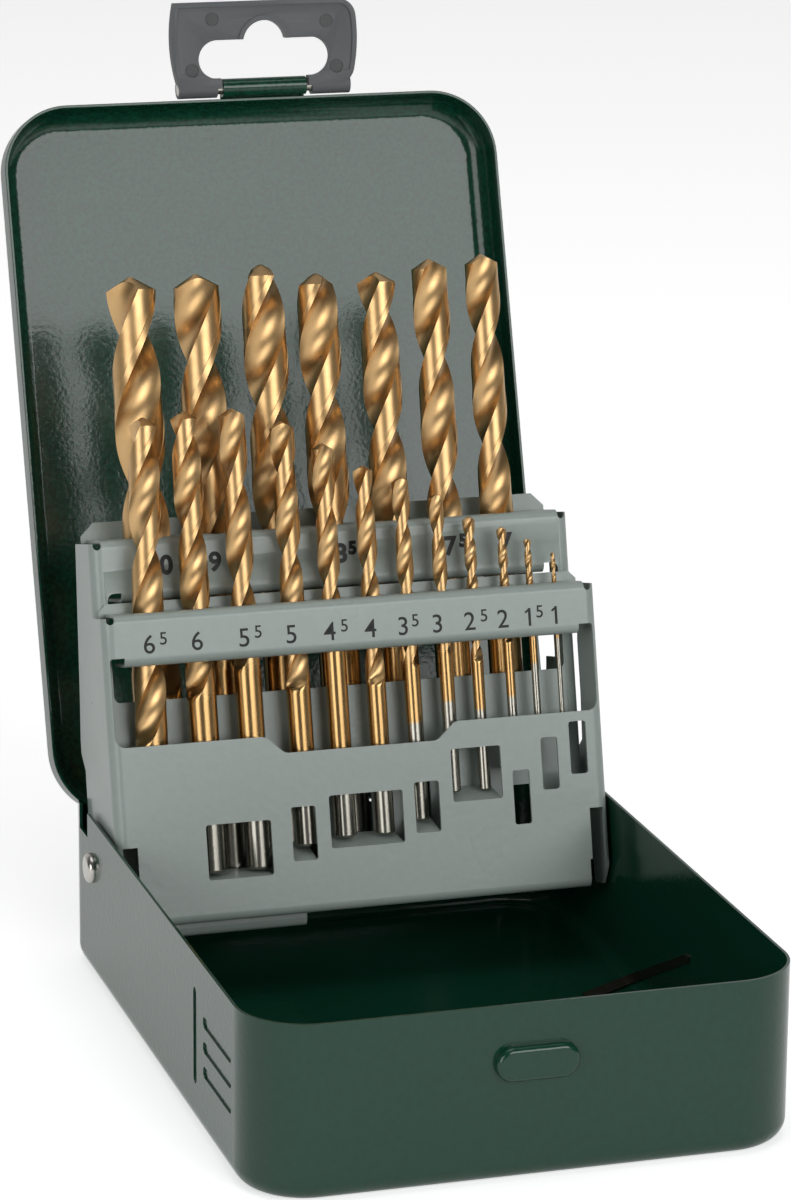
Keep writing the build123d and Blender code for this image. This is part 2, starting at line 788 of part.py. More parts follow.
def twist_drill(diameter, length, fluted):
    """Drill standing on z = 0 with its point up."""
    radius = diameter / 2
    pitch = math.pi * diameter / math.tan(math.radians(helix_angle))
    steps = math.ceil(fluted / pitch * sections_per_turn)
    section = flute_section(diameter)
    sections = []
    for step in range(steps + 1):
        height = fluted * step / steps
        turn = 360 * height / pitch
        sections.append(section.moved(Location((0, 0, length - fluted + height), (0, 0, turn))))
    flutes = Solid.make_loft(sections, False)
    shank = Solid.make_cylinder(radius, length - fluted)
    shank = chamfer(shank.faces().sort_by(Axis.Z)[0].edges(), diameter * shank_chamfer)
    slope = math.tan(math.radians(point_angle / 2))
    wide = 3 * length
    cone = Solid.make_cone(wide, 0.001, wide / slope, Plane((0, 0, length - wide / slope)))
    return (shank + flutes) & cone


def front_seat(diameter, place):
    """Height of a front drill's end over the flap or foot that it stands on."""
    if place == "foot":
        tilt = diameter / 2 * math.sin(math.radians(stray_lean))
        return front_foot_low + rack_sheet + seat_gap + tilt
    if place in FRONT_SHELVES:
        return FRONT_SHELVES[place][2] + seat_gap
    bottom = FRONT_WINDOWS[place][3]
    rise = FRONT_WINDOWS[place][4]
    back_edge = front_row - diameter / 2
    return bottom + (front_back - back_edge) * math.tan(math.radians(rise)) + seat_gap


def rear_seat(seat):
    """Height of a rear drill's end."""
    if seat is None:
        return rear_foot_low + rack_sheet + seat_gap
    return seat + seat_gap


def drill_name(diameter):
    """Node name, such as drill_6_5."""
    return "drill_" + str(diameter).replace(".", "_")


# ---------------------------------------------------------------- strip in the tray
def lift_strip():
    """Thin strip that follows the tray's floor, corner and right wall."""
    inner = rounded_block(
        tray_width - 2 * (case_sheet + strip_gap),
        tray_length - 2 * (case_sheet + strip_gap),
        tray_height,
        tray_corner - case_sheet - strip_gap,
        tray_edge - case_sheet - strip_gap,
    )
    core = rounded_block(
        tray_width - 2 * (case_sheet + strip_gap + strip_thickness),
        tray_length - 2 * (case_sheet + strip_gap + strip_thickness),
        tray_height,
        tray_corner - case_sheet - strip_gap - strip_thickness,
        tray_edge - case_sheet - strip_gap - strip_thickness,
    )
    skin = Pos(0, 0, case_sheet + strip_gap) * (inner - Pos(0, 0, strip_thickness) * core)
    wall = half_width - case_sheet
    foot = Vector(strip_foot[0], strip_foot[1], case_sheet)
    turn = Vector(wall, strip_turn, case_sheet)
    end = Vector(wall, strip_end[0], case_sheet + strip_end[1])
    normal = (turn - foot).cross(end - turn).normalized()
    plane = Plane(origin=turn, x_dir=(turn - foot).normalized(), z_dir=normal)
    band = extrude(plane * Rectangle(4 * tray_length, 4 * tray_length), strip_breadth / 2, both=True)
    strip = skin & band
    low_x = strip_foot[0]
    return strip & slab(low_x, half_width, strip_end[0], half_length, 0, case_sheet + strip_end[1])


# ---------------------------------------------------------------- write
def write(name, shape):
    """One STEP file per piece."""
    shape.label = name
    export_step(shape, "parts/" + name + ".step")


write("base_tray", base_tray())
write("lid_shell", opened(lid_shut()))
half_hinge = hinge_length / 2
write("hinge_pin", bar(hinge_wire / 2, -half_hinge, half_hinge, hinge_y, hinge_height))
write("front_rack", leaned(front_rack()))
write("rear_rack", leaned(rear_rack()))
write("pivot_rivet_left", pivot_rivet(-1))
write("pivot_rivet_right", pivot_rivet(1))
write("hang_tab", opened(tab_frame(hang_tab_own())))
tab_pin = bar(tab_wire / 2, -tab_barrel_end, tab_barrel_end, 0, 0)
write("tab_pin", opened(tab_frame(tab_pin)))
write("lift_strip", lift_strip())
for diameter, (across, length, fluted, place) in FRONT_DRILLS.items():
    across *= row_spread
    drill = Pos(across, -front_row, front_seat(diameter, place)) * twist_drill(diameter, length, fluted)
    write(drill_name(diameter), leaned(strayed(drill, diameter, across)))
for diameter, (across, length, fluted, seat, _) in REAR_DRILLS.items():
    across *= row_spread
    drill = Pos(across, -rear_row, rear_seat(seat)) * twist_drill(diameter, length, fluted)
    write(drill_name(diameter), leaned(drill))
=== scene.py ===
"""Looks for the drill bit case: enamelled sheet steel, coated twist drills, moulded hang tab."""

import json
import math

import bpy
from mathutils import Matrix, Vector


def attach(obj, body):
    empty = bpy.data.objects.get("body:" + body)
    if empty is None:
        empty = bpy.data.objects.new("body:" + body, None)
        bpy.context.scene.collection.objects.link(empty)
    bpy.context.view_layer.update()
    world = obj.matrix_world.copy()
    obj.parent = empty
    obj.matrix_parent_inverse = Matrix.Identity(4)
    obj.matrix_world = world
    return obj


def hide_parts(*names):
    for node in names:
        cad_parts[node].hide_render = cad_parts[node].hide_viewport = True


bl_info = {
    "name": "Drill bit case",
    "version": (1, 0, 0),
    "blender": (4, 5, 0),
    "location": "View3D > Sidebar > Drill case",
    "description": "Dresses a hinged case of twist drills in enamel, coating and moulded plastic",
    "category": "Object",
}

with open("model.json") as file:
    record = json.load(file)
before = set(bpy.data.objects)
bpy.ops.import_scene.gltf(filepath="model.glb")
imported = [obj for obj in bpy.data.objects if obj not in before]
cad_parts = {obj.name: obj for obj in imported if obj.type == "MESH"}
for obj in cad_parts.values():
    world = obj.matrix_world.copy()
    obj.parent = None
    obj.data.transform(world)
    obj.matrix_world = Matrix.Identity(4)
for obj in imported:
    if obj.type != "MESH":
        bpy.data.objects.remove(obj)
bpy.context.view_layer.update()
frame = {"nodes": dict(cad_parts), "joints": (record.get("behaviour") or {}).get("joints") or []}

MM = 0.001

JOINTS = {joint["name"]: joint for joint in frame["joints"]}

# the racks' frame: x across, forward of and up along the drills, which lean back with the racks
DRILL_AXIS = Vector(JOINTS["drill_10_0_pull"]["axis"])
RACK_LEAN = math.atan2(DRILL_AXIS.y, DRILL_AXIS.z)
# the rivets' place in the case's frame, and in the racks'
PIVOT = Vector(JOINTS["holder_tilt"]["pos_m"])
PIVOT_FORWARD = 14.65 * MM
PIVOT_UP = -5.13 * MM
# the number bars' faces, and the drills' rows, this far forward
FRONT_FACE = 33.2 * MM
REAR_FACE = 24.0 * MM
FRONT_ROW = 28.3 * MM
REAR_ROW = 18.07 * MM

# one drill stands askew in its hole: it leans across, about a point this high up the racks
STRAY_DRILL = 6.5
STRAY_LEAN = math.radians(2.1)
STRAY_HEIGHT = 40.9 * MM

POINT_HALF_ANGLE = math.radians(59)
# the way that a land's middle faces at its drill's waist, seen from above
FACING = math.radians(-106)

# diameter: place across, height of its end in the rack, overall, fluted, bare steel at the end,
# how far below its point its waist is, all in millimetres, and its helix angle in degrees
FRONT_DRILLS = {
    6.5: (-41.4, -15.73, 101.0, 66.5, 15.0, 5.3, 25.4),
    6.0: (-31.3, -7.02, 93.0, 58.5, 14.0, 5.2, 27.0),
    5.5: (-21.5, -7.06, 93.0, 53.5, 14.0, 15.4, 23.5),
    5.0: (-11.2, -3.28, 86.0, 55.0, 13.0, 10.4, 25.3),
    4.5: (-3.1, -2.22, 80.0, 42.5, 13.0, 13.0, 24.0),
    4.0: (5.2, -2.28, 75.0, 45.0, 13.0, 6.1, 22.6),
    3.5: (12.9, -0.1, 70.0, 39.0, 19.5, 9.4, 22.5),
    3.0: (20.3, 5.01, 61.0, 33.0, 18.2, 8.1, 22.6),
    2.5: (27.0, 4.94, 56.0, 30.0, 16.0, 4.1, 28.0),
    2.0: (33.9, 9.35, 49.0, 24.0, 13.8, 3.0, 28.0),
    1.5: (39.3, 15.55, 40.0, 18.0, 14.0, 2.0, 28.0),
    1.0: (44.6, 18.35, 34.0, 12.0, 16.0, 1.0, 28.0),
}
REAR_DRILLS = {
    10.0: (-38.0, -19.25, 133.0, 87.0, 18.0, 12.2, 27.6),
    9.5: (-24.4, -11.35, 125.0, 81.0, 18.0, 18.1, 27.5),
    9.0: (-10.7, -10.05, 125.0, 81.0, 18.0, 29.1, 28.6),
    8.5: (0.8, -4.45, 117.0, 75.0, 17.0, 25.2, 27.5),
    8.0: (13.6, -4.85, 117.0, 75.0, 17.0, 8.3, 27.7),
    7.5: (25.1, 5.25, 109.0, 69.0, 16.0, 20.1, 25.4),
    7.0: (36.4, 5.65, 109.0, 69.0, 16.0, 16.2, 26.0),
}

# printed sizes: figure, its place across, raised figure for the half millimetre, its place
FRONT_LABELS = (
    ("6", -42.56, "5", -39.59), ("6", -32.72, "", 0), ("5", -22.97, "5", -20.04),
    ("5", -13.18, "", 0), ("4", -5.14, "5", -2.05), ("4", 3.41, "", 0),
    ("3", 10.29, "5", 12.89), ("3", 17.55, "", 0), ("2", 24.42, "5", 27.51),
    ("2", 31.50, "", 0), ("1", 37.23, "5", 39.44), ("1", 42.92, "", 0),
)
REAR_LABELS = (
    ("10", -37.1, "", 0), ("9", -25.65, "5", -22.2), ("9", -10.0, "", 0),
    ("8", 0.74, "5", 3.31), ("8", 14.2, "", 0), ("7", 24.11, "5", 26.98), ("7", 36.05, "", 0),
)


# a copied solid's points this close are one, and its faces this flat are one
SAME_POINT = 0.002 * MM
FLAT_ANGLE = math.radians(0.4)
# its edges sharper than the first are rounded, and those sharper than the second stay crisp
ROUNDED_ANGLE = math.radians(40)
CRISP_ANGLE = math.radians(32)
ROUNDING_STEPS = 2
DRILL_CRISP_ANGLE = math.radians(34)


# ------------------------------------------------------------------ small helpers
def linear(value):
    """A colour written as an sRGB hex string, as linear RGBA."""
    parts = [int(value[i:i + 2], 16) / 255 for i in (1, 3, 5)]
    turned = [c / 12.92 if c <= 0.04045 else ((c + 0.055) / 1.055) ** 2.4 for c in parts]
    return (*turned, 1.0)


def add_node(tree, kind, settings=None, values=None, links=None):
    """Adds a node, sets its properties and socket values, and links sockets to it."""
    node = tree.nodes.new(kind)
    for key, value in (settings or {}).items():
        setattr(node, key, value)
    for key, value in (values or {}).items():
        node.inputs[key].default_value = value
    for key, source in (links or {}).items():
        tree.links.new(source, node.inputs[key])
    return node


def new_material(name, **values):
    """The node tree and shader of a new material, the shader's sockets given by name."""
    material = bpy.data.materials.new(name)
    material.use_nodes = True
    shader = material.node_tree.nodes["Principled BSDF"]
    for key, value in values.items():
        shader.inputs[key.replace("_", " ")].default_value = value
    return material.node_tree, shader


def select_only(obj):
    """Deselects everything and makes one object selected and active."""
    bpy.ops.object.select_all(action="DESELECT")
    obj.select_set(True)
    bpy.context.view_layer.objects.active = obj


def apply_modifier(obj, kind, **settings):
    """Adds a modifier with its settings and applies it."""
    select_only(obj)
    modifier = obj.modifiers.new(kind.lower(), kind)
    for key, value in settings.items():
        setattr(modifier, key, value)
    bpy.ops.object.modifier_apply(modifier=modifier.name)


def give(obj, material, body):
    """One material, and the body that the piece moves with."""
    obj.data.materials.clear()
    obj.data.materials.append(material)
    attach(obj, body)


def rack_point(across, forward, up):
    """A point of the racks' frame, in metres, in the case's frame."""
    ahead = forward - PIVOT_FORWARD
    above = up - PIVOT_UP
    sine = math.sin(RACK_LEAN)
    cosine = math.cos(RACK_LEAN)
    return Vector((
        across,
        PIVOT.y - ahead * cosine + above * sine,
        PIVOT.z + ahead * sine + above * cosine,
    ))


def rack_matrix(across, forward, up):
    """Places a piece drawn upright at a point of the racks' frame, leaned back with them."""
    place = Matrix.Translation(rack_point(across, forward, up))
    return place @ Matrix.Rotation(-RACK_LEAN, 4, "X")


def pressed_copy(node, name, edge):
    """A clean copy of a pressed or moulded solid, its edges rounded as paint or a mould does."""
    source = frame["nodes"][node]
    obj = bpy.data.objects.new(name, source.data.copy())
    bpy.context.scene.collection.objects.link(obj)
    select_only(obj)
    bpy.ops.object.mode_set(mode="EDIT")
    bpy.ops.mesh.select_all(action="SELECT")
    bpy.ops.mesh.customdata_custom_splitnormals_clear()
    bpy.ops.mesh.remove_doubles(threshold=SAME_POINT)
    bpy.ops.mesh.dissolve_limited(angle_limit=FLAT_ANGLE)
    bpy.ops.object.mode_set(mode="OBJECT")
    apply_modifier(
        obj, "BEVEL", width=edge, segments=ROUNDING_STEPS, limit_method="ANGLE",
        angle_limit=ROUNDED_ANGLE, use_clamp_overlap=True,
    )
    select_only(obj)
    bpy.ops.object.shade_smooth_by_angle(angle=CRISP_ANGLE)
    apply_modifier(obj, "WEIGHTED_NORMAL", mode="FACE_AREA", keep_sharp=True)
    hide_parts(node)
    return obj


# ------------------------------------------------------------------ materials
# a Mix node's colour sockets, by number because its other sockets share their names
MIX_FROM = 6
MIX_TO = 7
MIX_RESULT = 2


def enamel(name, colour, peel_size, peel_height, roughness, painted_peel_shading):
    """Stoving enamel sprayed on sheet steel: a glossy skin whose orange peel breaks reflections,
    with painted light on the peel's crests and painted shade in its hollows.
    """
    # the gloss drifts over this distance, between these shares of the roughness
    drift = 18 * MM
    glossy, dull = 0.85, 1.25
    tree, shader = new_material(name, Base_Color=colour, Roughness=roughness, IOR=1.5)
    place = add_node(tree, "ShaderNodeTexCoord")
    peel = add_node(
        tree, "ShaderNodeTexNoise",
        values={"Scale": 1 / peel_size, "Detail": 2.0, "Roughness": 0.45},
        links={"Vector": place.outputs["Object"]},
    )
    bump = add_node(
        tree, "ShaderNodeBump",
        values={"Strength": 1.0, "Distance": peel_height},
        links={"Height": peel.outputs["Fac"]},
    )
    tree.links.new(bump.outputs["Normal"], shader.inputs["Normal"])
    cloud = add_node(
        tree, "ShaderNodeTexNoise",
        values={"Scale": 1 / drift, "Detail": 4.0},
        links={"Vector": place.outputs["Object"]},
    )
    sheen = add_node(
        tree, "ShaderNodeMapRange",
        values={"To Min": roughness * glossy, "To Max": roughness * dull},
        links={"Value": cloud.outputs["Fac"]},
    )
    tree.links.new(sheen.outputs["Result"], shader.inputs["Roughness"])
    # painted light and shade: the colour is a little lighter on the peel's crests than in its
    # hollows, as if they caught the light, standing in for a mottled sheen
    hollow, crest = 0.3, 0.7
    crest_shade = add_node(
        tree, "ShaderNodeMapRange",
        values={
            "From Min": hollow, "From Max": crest, "To Min": 1 - painted_peel_shading, "To Max": 1 + painted_peel_shading,
        },
        links={"Value": peel.outputs["Fac"]},
    )
    crest_shaded_colour = add_node(
        tree, "ShaderNodeVectorMath", settings={"operation": "SCALE"},
        links={"Scale": crest_shade.outputs["Result"]},
    )
    crest_shaded_colour.inputs[0].default_value = colour[:3]
    tree.links.new(crest_shaded_colour.outputs["Vector"], shader.inputs["Base Color"])


def bright_steel(name, colour, roughness):
    """Drawn or headed steel: small bright highlights, slightly broken by the tool's marks."""
    mark_size = 0.8 * MM
    mark_depth = 0.02 * MM
    tree, shader = new_material(
        name, Base_Color=colour, Metallic=1.0, Roughness=roughness,
    )
    place = add_node(tree, "ShaderNodeTexCoord")
    marks = add_node(
        tree, "ShaderNodeTexNoise",
        values={"Scale": 1 / mark_size, "Detail": 5.0},
        links={"Vector": place.outputs["Object"]},
    )
    bump = add_node(
        tree, "ShaderNodeBump",
        values={"Strength": 0.6, "Distance": mark_depth},
        links={"Height": marks.outputs["Fac"]},
    )
    tree.links.new(bump.outputs["Normal"], shader.inputs["Normal"])


def coated_steel(name, light, deep, shank, bare, roughness):
    """Ground high-speed steel, its gold nitride coating stopping short of the shank's end.

    The grinding breaks its satin highlights into fine streaks round the drill."""
    # streaks: this many round the drill, and this far apart along it in millimetres, which is
    # coarser than real grit so that they show
    streaks_round = 14.0
    streak_width = 0.35
    streak_depth = 0.02 * MM
    # shares of the roughness, from the finest streak to the coarsest
    fine, coarse = 0.8, 1.35
    # the coating's tone changes over this distance
    cloud_size = 4 * MM
    # the shank's roughness, over the flutes'
    shank_polish = 0.7
    tree, shader = new_material(name, Metallic=1.0, Roughness=roughness)
    coat = add_node(tree, "ShaderNodeAttribute", settings={"attribute_name": "coating"})
    run = add_node(tree, "ShaderNodeUVMap")
    stretched = add_node(
        tree, "ShaderNodeMapping", values={"Scale": (streaks_round, 1 / streak_width, 1.0)},
        links={"Vector": run.outputs["UV"]},
    )
    grind = add_node(
        tree, "ShaderNodeTexNoise",
        values={"Scale": 1.0, "Detail": 4.0, "Roughness": 0.65},
        links={"Vector": stretched.outputs["Vector"]},
    )
    place = add_node(tree, "ShaderNodeTexCoord")
    cloud = add_node(
        tree, "ShaderNodeTexNoise",
        values={"Scale": 1 / cloud_size, "Detail": 3.0},
        links={"Vector": place.outputs["Object"]},
    )
    tone = add_node(
        tree, "ShaderNodeMix", settings={"data_type": "RGBA"},
        links={"Factor": cloud.outputs["Fac"]},
    )
    tone.inputs[MIX_FROM].default_value = light
    tone.inputs[MIX_TO].default_value = deep
    # painted shade: the coating on the ground shank is coloured darker than in the flutes, standing
    # in for darker surroundings in its reflections
    ground = add_node(tree, "ShaderNodeAttribute", settings={"attribute_name": "shank"})
    depth = add_node(
        tree, "ShaderNodeMix", settings={"data_type": "RGBA"},
        links={"Factor": ground.outputs["Fac"]},
    )
    tree.links.new(tone.outputs[MIX_RESULT], depth.inputs[MIX_FROM])
    depth.inputs[MIX_TO].default_value = shank
    colour = add_node(
        tree, "ShaderNodeMix", settings={"data_type": "RGBA"},
        links={"Factor": coat.outputs["Fac"]},
    )
    colour.inputs[MIX_FROM].default_value = bare
    tree.links.new(depth.outputs[MIX_RESULT], colour.inputs[MIX_TO])
    tree.links.new(colour.outputs[MIX_RESULT], shader.inputs["Base Color"])
    rough = add_node(
        tree, "ShaderNodeMapRange",
        values={"To Min": roughness * fine, "To Max": roughness * coarse},
        links={"Value": grind.outputs["Fac"]},
    )
    polish = add_node(
        tree, "ShaderNodeMapRange", values={"To Min": 1.0, "To Max": shank_polish},
        links={"Value": ground.outputs["Fac"]},
    )
    finish = add_node(
        tree, "ShaderNodeMath", settings={"operation": "MULTIPLY"},
        links={0: rough.outputs["Result"], 1: polish.outputs["Result"]},
    )
    tree.links.new(finish.outputs["Value"], shader.inputs["Roughness"])
    bump = add_node(
        tree, "ShaderNodeBump",
        values={"Strength": 0.7, "Distance": streak_depth},
        links={"Height": grind.outputs["Fac"]},
    )
    tree.links.new(bump.outputs["Normal"], shader.inputs["Normal"])


def moulded_plastic(name, colour, grain_size, grain_height):
    """Injection-moulded polyamide: a spark-eroded texture that spreads its shine."""
    # the shine changes over this distance, between these roughnesses
    drift = 6 * MM
    shiny, dull = 0.40, 0.56
    tree, shader = new_material(
        name, Base_Color=colour, Roughness=0.48, IOR=1.46,
    )
    place = add_node(tree, "ShaderNodeTexCoord")
    grain = add_node(
        tree, "ShaderNodeTexNoise",
        values={"Scale": 1 / grain_size, "Detail": 3.0},
        links={"Vector": place.outputs["Object"]},
    )
    bump = add_node(
        tree, "ShaderNodeBump",
        values={"Strength": 0.5, "Distance": grain_height},
        links={"Height": grain.outputs["Fac"]},
    )
    tree.links.new(bump.outputs["Normal"], shader.inputs["Normal"])
    cloud = add_node(
        tree, "ShaderNodeTexNoise",
        values={"Scale": 1 / drift, "Detail": 3.0},
        links={"Vector": place.outputs["Object"]},
    )
    shine = add_node(
        tree, "ShaderNodeMapRange",
        values={"To Min": shiny, "To Max": dull},
        links={"Value": cloud.outputs["Fac"]},
    )
    tree.links.new(shine.outputs["Result"], shader.inputs["Roughness"])


def printing_ink(name, colour):
    """Pad-printed ink: near black, matt, with a faint unevenness in its shine."""
    grain_size = 0.5 * MM
    shiny, dull = 0.45, 0.65
    tree, shader = new_material(name, Base_Color=colour, Roughness=0.55)
    place = add_node(tree, "ShaderNodeTexCoord")
    grain = add_node(
        tree, "ShaderNodeTexNoise",
        values={"Scale": 1 / grain_size, "Detail": 2.0},
        links={"Vector": place.outputs["Object"]},
    )
    rough = add_node(
        tree, "ShaderNodeMapRange", values={"To Min": shiny, "To Max": dull},
        links={"Value": grain.outputs["Fac"]},
    )
    tree.links.new(rough.outputs["Result"], shader.inputs["Roughness"])


def finished(name):
    """A material made above, by its name."""
    return bpy.data.materials[name]


# ------------------------------------------------------------------ settings a user may change
def colour_property(name, default, description):
    """A colour field that opens on an sRGB hex colour."""
    return bpy.props.FloatVectorProperty(
        name=name, description=description, subtype="COLOR", size=4, min=0, max=1,
        default=linear(default),
    )


class CaseFinish(bpy.types.PropertyGroup):
    """Colours and finishes of the case."""

    green: colour_property("Green enamel", "#113f2f", "Stoving enamel of the tray and the lid")
    grey: colour_property("Grey enamel", "#9ca7a2", "Stoving enamel of the racks")
    plastic: colour_property("Hang tab", "#5a5c5e", "Moulded tab")
    pin_marks: colour_property("Pin marks", "#4a4c4c", "Round marks on the tab's inner face")
    gold_light: colour_property("Coating, light", "#d9b684", "Where the nitride coating is thin")
    gold_deep: colour_property("Coating, deep", "#c39c68", "Where the nitride coating is thick")
    # painted shade: a darker coating colour for the shank, standing in for darker reflections round
    # it
    gold_shank: colour_property("Coating, shank", "#bb9764", "The nitride coating on the shank")
    steel: colour_property("Bare steel", "#a5a298", "Shank ends below the coating")
    rivet: colour_property("Rivets and pins", "#c9c6bf", "Plated steel of the rivets and pins")
    spring: colour_property("Strip", "#6d6258", "Darkened steel of the strip in the tray")
    ink: colour_property("Printed sizes", "#080a0a", "Ink of the sizes on the racks")
    edge: bpy.props.FloatProperty(
        name="Edge", description="Rounding of cut sheet edges under the paint",
        default=0.3 * MM, unit="LENGTH", precision=5,
    )
    figure_height: bpy.props.FloatProperty(
        name="Figure height", description="Height of the printed sizes",
        default=3.7 * MM, unit="LENGTH", precision=4,
    )
    raised_height: bpy.props.FloatProperty(
        name="Raised figure height", description="Height of the small raised figures",
        default=2.5 * MM, unit="LENGTH", precision=4,
    )


class DrillShape(bpy.types.PropertyGroup):
    """Cross-section and resolution of the twist drills."""

    land_points: bpy.props.IntProperty(
        name="Land points", description="Points across a land behind its margin", default=7, min=3,
    )
    margin_points: bpy.props.IntProperty(
        name="Margin points", description="Points across a margin", default=3, min=2,
    )
    flute_points: bpy.props.IntProperty(
        name="Flute points", description="Points across a flute", default=17, min=5,
    )
    ring_step: bpy.props.FloatProperty(
        name="Ring step", description="Turn from one ring of points to the next",
        default=math.radians(7), subtype="ANGLE",
    )
    land: bpy.props.FloatProperty(
        name="Land", description="Angle of each land", default=math.radians(70), subtype="ANGLE",
    )
    margin: bpy.props.FloatProperty(
        name="Margin", description="Angle of the raised margin",
        default=math.radians(17), subtype="ANGLE",
    )
    relief: bpy.props.FloatProperty(
        name="Relief", description="Land radius behind the margin, over the drill's",
        default=0.965, subtype="FACTOR", min=0, max=1,
    )
    run_out: bpy.props.FloatProperty(
        name="Run-out",
        description="Length over which a flute comes up to the shank, over the diameter",
        default=0.8, subtype="FACTOR", min=0, max=5,
    )


# ------------------------------------------------------------------ operators
class CASE_OT_finishes(bpy.types.Operator):
    """Makes the materials of the case"""

    bl_idname = "drill_case.finishes"
    bl_label = "Finishes"

    def execute(self, context):
        finish = context.scene.case_finish
        enamel(
            "green stoving enamel", finish.green, peel_size=1.3 * MM, peel_height=0.035 * MM,
            roughness=0.14, painted_peel_shading=0.05,
        )
        # the lid's coat is finer, and its painted light and shade on the peel is stronger, standing
        # in for a mottled sheen
        enamel(
            "green lid enamel", finish.green, peel_size=0.9 * MM, peel_height=0.035 * MM,
            roughness=0.15, painted_peel_shading=0.35,
        )
        enamel(
            "grey stoving enamel", finish.grey, peel_size=1.6 * MM, peel_height=0.03 * MM,
            roughness=0.28, painted_peel_shading=0.02,
        )
        bright_steel("bright rivet steel", finish.rivet, roughness=0.25)
        bright_steel("dark spring steel", finish.spring, roughness=0.4)
        coated_steel(
            "nitride coated high-speed steel", finish.gold_light, finish.gold_deep,
            finish.gold_shank, finish.steel, roughness=0.33,
        )
        moulded_plastic(
            "moulded polyamide", finish.plastic, grain_size=0.35 * MM, grain_height=0.03 * MM,
        )
        moulded_plastic(
            "rough polyamide", finish.pin_marks, grain_size=0.5 * MM, grain_height=0.12 * MM,
        )
        printing_ink("printed ink", finish.ink)
        return {"FINISHED"}


class CASE_OT_tray(bpy.types.Operator):
    """Makes the enamelled tray"""

    bl_idname = "drill_case.tray"
    bl_label = "Tray"

    def execute(self, context):
        tray = pressed_copy("base_tray", "enamelled_tray", context.scene.case_finish.edge)
        give(tray, finished("green stoving enamel"), "tray")
        return {"FINISHED"}


class CASE_OT_lid(bpy.types.Operator):
    """Makes the enamelled lid"""

    bl_idname = "drill_case.lid"
    bl_label = "Lid"

    def execute(self, context):
        lid = pressed_copy("lid_shell", "enamelled_lid", context.scene.case_finish.edge)
        give(lid, finished("green lid enamel"), "lid")
        return {"FINISHED"}


class CASE_OT_racks(bpy.types.Operator):
    """Makes the two grey racks"""

    bl_idname = "drill_case.racks"
    bl_label = "Racks"

    def execute(self, context):
        edge = context.scene.case_finish.edge
        for node in ("front_rack", "rear_rack"):
            rack = pressed_copy(node, node + "_sheet", edge)
            give(rack, finished("grey stoving enamel"), "holder")
        return {"FINISHED"}


class CASE_OT_sizes(bpy.types.Operator):
    """Prints the drill sizes on the number bars"""

    bl_idname = "drill_case.sizes"
    bl_label = "Printed sizes"

    # how far the ink stands off the enamel, and the height of the font's figures over its size
    INK = 0.02 * MM
    CAP_HEIGHT = 0.7
    # the 1's upstroke: start across and up, length and half its breadth, over the figure's
    # height, and its slope
    FLAG = (-0.27, 0.375, 0.24, 0.055, math.radians(36))
    # each bar: labels, face, heights of the figures' and the raised figures' middles, and how
    # much the strokes are thickened
    BARS = {
        "front": (FRONT_LABELS, FRONT_FACE, 39.75 * MM, 40.8 * MM, 0.02 * MM),
        "rear": (REAR_LABELS, REAR_FACE, 55.1 * MM, 56.1 * MM, 0.2 * MM),
    }
    # the print runs this far downhill, over this length from this place across
    DROP = 0.3 * MM
    DROP_START = -42.6
    DROP_LENGTH = 85.5

    def flag(self, figure, height):
        """Adds the short upstroke that the font leaves off its 1."""
        across, up, length, thick, slope = self.FLAG
        bpy.ops.object.select_all(action="DESELECT")
        bpy.ops.mesh.primitive_cube_add(size=1)
        stroke = bpy.context.object
        size = Matrix.Diagonal((length * height, thick * height * 2, self.INK * 2, 1))
        turn = Matrix.Rotation(slope, 4, "Z")
        place = Matrix.Translation((across * height + length * height / 2, up * height, 0))
        stroke.data.transform(place @ turn @ size)
        figure.select_set(True)
        bpy.context.view_layer.objects.active = figure
        bpy.ops.object.join()

    def figure(self, text, name, height, weight, matrix):
        """One printed figure, as thin ink, its strokes thickened by the weight."""
        bpy.ops.object.select_all(action="DESELECT")
        bpy.ops.object.text_add()
        label = bpy.context.object
        label.name = name
        label.data.body = text
        label.data.align_x = "CENTER"
        label.data.align_y = "CENTER"
        label.data.size = height / self.CAP_HEIGHT
        label.data.offset = weight
        label.data.extrude = self.INK
        bpy.ops.object.convert(target="MESH")
        label = bpy.context.object
        if text == "1":
            self.flag(label, height)
        label.data.transform(matrix)
        give(label, finished("printed ink"), "holder")

    def execute(self, context):
        finish = context.scene.case_finish
        upright = Matrix.Rotation(math.pi / 2, 4, "X")
        for row, (labels, face, middle, raised_middle, weight) in self.BARS.items():
            for index, (whole, across, half, half_across) in enumerate(labels):
                drop = self.DROP * (across - self.DROP_START) / self.DROP_LENGTH
                place = rack_matrix(across * MM, face, middle - drop) @ upright
                name = f"size_{row}_{index}"
                self.figure(whole, name, finish.figure_height, weight, place)
                if half:
                    place = rack_matrix(half_across * MM, face, raised_middle - drop) @ upright
                    self.figure(half, name + "_half", finish.raised_height, weight, place)
        return {"FINISHED"}


